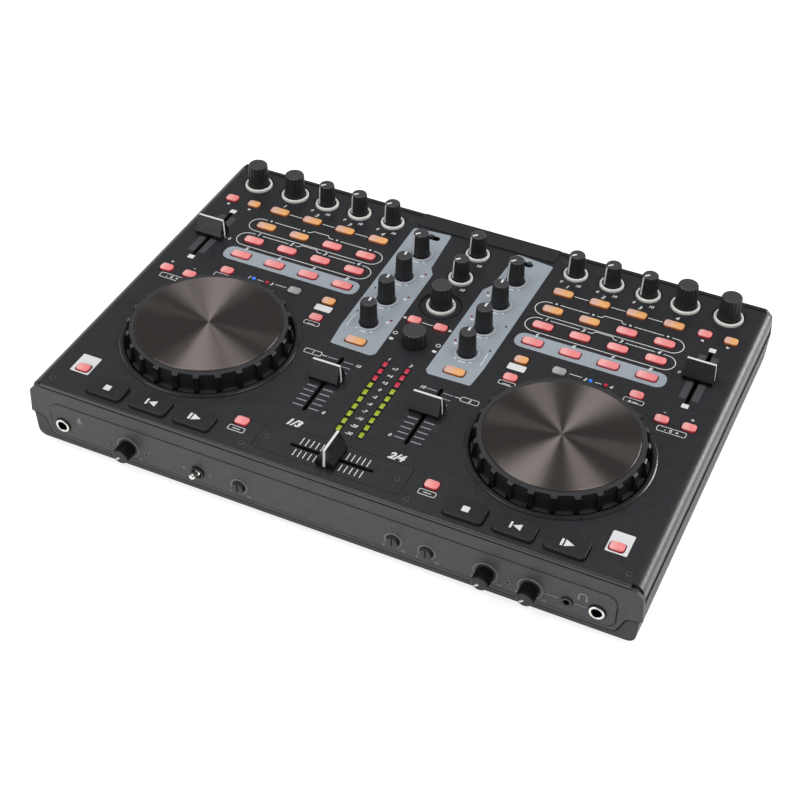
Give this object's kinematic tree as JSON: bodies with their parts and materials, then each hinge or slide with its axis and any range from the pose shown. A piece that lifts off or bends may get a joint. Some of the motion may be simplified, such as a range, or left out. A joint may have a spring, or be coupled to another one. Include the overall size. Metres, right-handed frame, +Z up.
{
  "type": "dj controller",
  "caption": "Desktop DJ mixing controller: flat metal-topped case with jog wheels, pad buttons, knobs, faders and a central mixer section.",
  "frame": {"origin": "centre of the footprint, on the plane that the rubber feet stand on", "axes": "+X to the right across both decks, +Y to the rear where the sockets are, +Z up"},
  "size_m": [0.38, 0.2706, 0.0635],
  "materials": {
    "panel_metal": "satin charcoal powder coat",
    "case_plastic": "fine-textured dark grey plastic",
    "black_plastic": "satin black plastic",
    "key_plastic": "semi-gloss black plastic",
    "button_silicone": "translucent salmon-red and amber silicone",
    "collar_plastic": "white translucent plastic",
    "lens_plastic": "yellow-green and red lens plastic",
    "jog_metal": "dark circular-brushed metal",
    "screw_metal": "black zinc",
    "socket_metal": "nickel plate",
    "rubber": "matt black rubber",
    "board": "green board lacquer",
    "inner_plastic": "plain moulded plastic"
  },
  "bodies": {
    "casing": {"top_panel": "panel_metal", "front_fascia": "case_plastic", "front_plate": "case_plastic", "rear_panel": "case_plastic", "lower_case": "case_plastic", "crossfader_plate": "panel_metal", "rubber_feet": "rubber", "panel_screws": "screw_metal", "main_board": "board", "control_bodies": "inner_plastic", "jog_bases": "black_plastic", "knob_collars": "collar_plastic", "indicator_lenses": "lens_plastic", "front_jacks": "black_plastic", "rear_sockets": "socket_metal"},
    "jog_wheel_left": {"jog_rim_left": "black_plastic", "jog_disc_left": "jog_metal"},
    "jog_wheel_right": {"jog_rim_right": "black_plastic", "jog_disc_right": "jog_metal"},
    "encoder_1_left": {"encoder_1_left": "black_plastic"},
    "encoder_2_left": {"encoder_2_left": "black_plastic"},
    "effect_knob_1_left": {"effect_knob_1_left": "black_plastic"},
    "effect_knob_2_left": {"effect_knob_2_left": "black_plastic"},
    "effect_knob_3_left": {"effect_knob_3_left": "black_plastic"},
    "gain_knob_left": {"gain_knob_left": "black_plastic"},
    "treble_knob_left": {"treble_knob_left": "black_plastic"},
    "middle_knob_left": {"middle_knob_left": "black_plastic"},
    "bass_knob_left": {"bass_knob_left": "black_plastic"},
    "encoder_1_right": {"encoder_1_right": "black_plastic"},
    "encoder_2_right": {"encoder_2_right": "black_plastic"},
    "effect_knob_1_right": {"effect_knob_1_right": "black_plastic"},
    "effect_knob_2_right": {"effect_knob_2_right": "black_plastic"},
    "effect_knob_3_right": {"effect_knob_3_right": "black_plastic"},
    "gain_knob_right": {"gain_knob_right": "black_plastic"},
    "treble_knob_right": {"treble_knob_right": "black_plastic"},
    "middle_knob_right": {"middle_knob_right": "black_plastic"},
    "bass_knob_right": {"bass_knob_right": "black_plastic"},
    "master_knob": {"master_knob": "black_plastic"},
    "booth_knob": {"booth_knob": "black_plastic"},
    "browse_knob": {"browse_knob": "black_plastic"},
    "select_knob": {"select_knob": "black_plastic"},
    "mic_level_knob": {"mic_level_knob": "black_plastic"},
    "phones_mix_knob": {"phones_mix_knob": "black_plastic"},
    "phones_level_knob": {"phones_level_knob": "black_plastic"},
    "touch_trimmer_left": {"touch_trimmer_left": "black_plastic"},
    "touch_trimmer_right": {"touch_trimmer_right": "black_plastic"},
    "curve_trimmer": {"curve_trimmer": "black_plastic"},
    "mic_toggle": {"mic_toggle": "socket_metal"},
    "crossfader": {"crossfader": "black_plastic"},
    "channel_fader_left": {"channel_fader_left": "black_plastic"},
    "channel_fader_right": {"channel_fader_right": "black_plastic"},
    "pitch_fader_left": {"pitch_fader_left": "black_plastic"},
    "pitch_fader_right": {"pitch_fader_right": "black_plastic"},
    "source_slider_left": {"source_slider_left": "socket_metal"},
    "source_slider_right": {"source_slider_right": "socket_metal"},
    "deck_buttons_left": {"deck_buttons_left": "button_silicone"},
    "deck_buttons_right": {"deck_buttons_right": "button_silicone"},
    "mixer_buttons": {"mixer_buttons": "button_silicone"},
    "transport_keys_left": {"transport_keys_left": "key_plastic"},
    "transport_keys_right": {"transport_keys_right": "key_plastic"}
  },
  "joints": [
    {"name": "jog_turn_left", "type": "hinge", "parent": "casing", "child": "jog_wheel_left", "pos_m": [-0.1124, -0.0468, 0.051], "axis": [0, 0, -1], "continuous": true},
    {"name": "jog_turn_right", "type": "hinge", "parent": "casing", "child": "jog_wheel_right", "pos_m": [0.1124, -0.0468, 0.051], "axis": [0, 0, -1], "continuous": true},
    {"name": "encoder_1_left_turn", "type": "hinge", "parent": "casing", "child": "encoder_1_left", "pos_m": [-0.164, 0.1083, 0.051], "axis": [0, 0, -1], "continuous": true},
    {"name": "encoder_2_left_turn", "type": "hinge", "parent": "casing", "child": "encoder_2_left", "pos_m": [-0.1363, 0.1083, 0.051], "axis": [0, 0, -1], "continuous": true},
    {"name": "effect_knob_1_left_turn", "type": "hinge", "parent": "casing", "child": "effect_knob_1_left", "pos_m": [-0.1122, 0.1083, 0.051], "axis": [0, 0, -1], "range_deg": [0, 300]},
    {"name": "effect_knob_2_left_turn", "type": "hinge", "parent": "casing", "child": "effect_knob_2_left", "pos_m": [-0.0882, 0.1083, 0.051], "axis": [0, 0, -1], "range_deg": [0, 300]},
    {"name": "effect_knob_3_left_turn", "type": "hinge", "parent": "casing", "child": "effect_knob_3_left", "pos_m": [-0.0641, 0.1083, 0.051], "axis": [0, 0, -1], "range_deg": [0, 300]},
    {"name": "gain_knob_left_turn", "type": "hinge", "parent": "casing", "child": "gain_knob_left", "pos_m": [-0.0326, 0.0842, 0.051], "axis": [0, 0, -1], "range_deg": [0, 300]},
    {"name": "treble_knob_left_turn", "type": "hinge", "parent": "casing", "child": "treble_knob_left", "pos_m": [-0.0326, 0.0581, 0.051], "axis": [0, 0, -1], "range_deg": [-150, 150]},
    {"name": "middle_knob_left_turn", "type": "hinge", "parent": "casing", "child": "middle_knob_left", "pos_m": [-0.0326, 0.0323, 0.051], "axis": [0, 0, -1], "range_deg": [-150, 150]},
    {"name": "bass_knob_left_turn", "type": "hinge", "parent": "casing", "child": "bass_knob_left", "pos_m": [-0.0326, 0.007, 0.051], "axis": [0, 0, -1], "range_deg": [-150, 150]},
    {"name": "encoder_1_right_turn", "type": "hinge", "parent": "casing", "child": "encoder_1_right", "pos_m": [0.164, 0.1083, 0.051], "axis": [0, 0, -1], "continuous": true},
    {"name": "encoder_2_right_turn", "type": "hinge", "parent": "casing", "child": "encoder_2_right", "pos_m": [0.1363, 0.1083, 0.051], "axis": [0, 0, -1], "continuous": true},
    {"name": "effect_knob_1_right_turn", "type": "hinge", "parent": "casing", "child": "effect_knob_1_right", "pos_m": [0.1122, 0.1083, 0.051], "axis": [0, 0, -1], "range_deg": [0, 300]},
    {"name": "effect_knob_2_right_turn", "type": "hinge", "parent": "casing", "child": "effect_knob_2_right", "pos_m": [0.0882, 0.1083, 0.051], "axis": [0, 0, -1], "range_deg": [0, 300]},
    {"name": "effect_knob_3_right_turn", "type": "hinge", "parent": "casing", "child": "effect_knob_3_right", "pos_m": [0.0641, 0.1083, 0.051], "axis": [0, 0, -1], "range_deg": [0, 300]},
    {"name": "gain_knob_right_turn", "type": "hinge", "parent": "casing", "child": "gain_knob_right", "pos_m": [0.0326, 0.0842, 0.051], "axis": [0, 0, -1], "range_deg": [0, 300]},
    {"name": "treble_knob_right_turn", "type": "hinge", "parent": "casing", "child": "treble_knob_right", "pos_m": [0.0326, 0.0581, 0.051], "axis": [0, 0, -1], "range_deg": [-150, 150]},
    {"name": "middle_knob_right_turn", "type": "hinge", "parent": "casing", "child": "middle_knob_right", "pos_m": [0.0326, 0.0323, 0.051], "axis": [0, 0, -1], "range_deg": [-150, 150]},
    {"name": "bass_knob_right_turn", "type": "hinge", "parent": "casing", "child": "bass_knob_right", "pos_m": [0.0326, 0.007, 0.051], "axis": [0, 0, -1], "range_deg": [-150, 150]},
    {"name": "master_knob_turn", "type": "hinge", "parent": "casing", "child": "master_knob", "pos_m": [0, 0.1003, 0.051], "axis": [0, 0, -1], "range_deg": [0, 300]},
    {"name": "booth_knob_turn", "type": "hinge", "parent": "casing", "child": "booth_knob", "pos_m": [0, 0.0729, 0.051], "axis": [0, 0, -1], "range_deg": [0, 300]},
    {"name": "browse_knob_turn", "type": "hinge", "parent": "casing", "child": "browse_knob", "pos_m": [0, 0.0422, 0.051], "axis": [0, 0, -1], "continuous": true},
    {"name": "select_knob_turn", "type": "hinge", "parent": "casing", "child": "select_knob", "pos_m": [0, 0.0024, 0.051], "axis": [0, 0, -1], "continuous": true},
    {"name": "mic_level_knob_turn", "type": "hinge", "parent": "casing", "child": "mic_level_knob", "pos_m": [-0.1235, -0.1263, 0.0187], "axis": [0, 1, 0], "range_deg": [0, 300]},
    {"name": "phones_mix_knob_turn", "type": "hinge", "parent": "casing", "child": "phones_mix_knob", "pos_m": [0.1017, -0.1263, 0.0187], "axis": [0, 1, 0], "range_deg": [0, 300]},
    {"name": "phones_level_knob_turn", "type": "hinge", "parent": "casing", "child": "phones_level_knob", "pos_m": [0.1276, -0.1263, 0.0187], "axis": [0, 1, 0], "range_deg": [0, 300]},
    {"name": "touch_trimmer_left_turn", "type": "hinge", "parent": "casing", "child": "touch_trimmer_left", "pos_m": [-0.0498, -0.1263, 0.0187], "axis": [0, 1, 0], "range_deg": [-150, 150]},
    {"name": "touch_trimmer_right_turn", "type": "hinge", "parent": "casing", "child": "touch_trimmer_right", "pos_m": [0.0468, -0.1263, 0.0187], "axis": [0, 1, 0], "range_deg": [-150, 150]},
    {"name": "curve_trimmer_turn", "type": "hinge", "parent": "casing", "child": "curve_trimmer", "pos_m": [0.067, -0.1263, 0.0187], "axis": [0, 1, 0], "range_deg": [-150, 150]},
    {"name": "mic_toggle_tilt", "type": "hinge", "parent": "casing", "child": "mic_toggle", "pos_m": [-0.0769, -0.1259, 0.0187], "axis": [0, 0, 1], "range_deg": [0, 24]},
    {"name": "crossfader_slide", "type": "slide", "parent": "casing", "child": "crossfader", "axis": [1, 0, 0], "range_m": [-0.0225, 0.0225]},
    {"name": "channel_fader_left_slide", "type": "slide", "parent": "casing", "child": "channel_fader_left", "axis": [0, 1, 0], "range_m": [-0.027, 0.018]},
    {"name": "channel_fader_right_slide", "type": "slide", "parent": "casing", "child": "channel_fader_right", "axis": [0, 1, 0], "range_m": [-0.027, 0.018]},
    {"name": "pitch_fader_left_slide", "type": "slide", "parent": "casing", "child": "pitch_fader_left", "axis": [0, 1, 0], "range_m": [-0.0225, 0.0225]},
    {"name": "pitch_fader_right_slide", "type": "slide", "parent": "casing", "child": "pitch_fader_right", "axis": [0, 1, 0], "range_m": [-0.0225, 0.0225]},
    {"name": "source_slider_left_slide", "type": "slide", "parent": "casing", "child": "source_slider_left", "axis": [1, 0, 0], "range_m": [0, 0.0036]},
    {"name": "source_slider_right_slide", "type": "slide", "parent": "casing", "child": "source_slider_right", "axis": [-1, 0, 0], "range_m": [0, 0.0036]},
    {"name": "deck_buttons_left_press", "type": "slide", "parent": "casing", "child": "deck_buttons_left", "axis": [0, 0, -1], "range_m": [0, 0.001], "stiffness_N_per_m": 1500},
    {"name": "deck_buttons_right_press", "type": "slide", "parent": "casing", "child": "deck_buttons_right", "axis": [0, 0, -1], "range_m": [0, 0.001], "stiffness_N_per_m": 1500},
    {"name": "mixer_buttons_press", "type": "slide", "parent": "casing", "child": "mixer_buttons", "axis": [0, 0, -1], "range_m": [0, 0.001], "stiffness_N_per_m": 700},
    {"name": "transport_keys_left_press", "type": "slide", "parent": "casing", "child": "transport_keys_left", "axis": [0, 0, -1], "range_m": [0, 0.001], "stiffness_N_per_m": 900},
    {"name": "transport_keys_right_press", "type": "slide", "parent": "casing", "child": "transport_keys_right", "axis": [0, 0, -1], "range_m": [0, 0.001], "stiffness_N_per_m": 900}
  ]
}
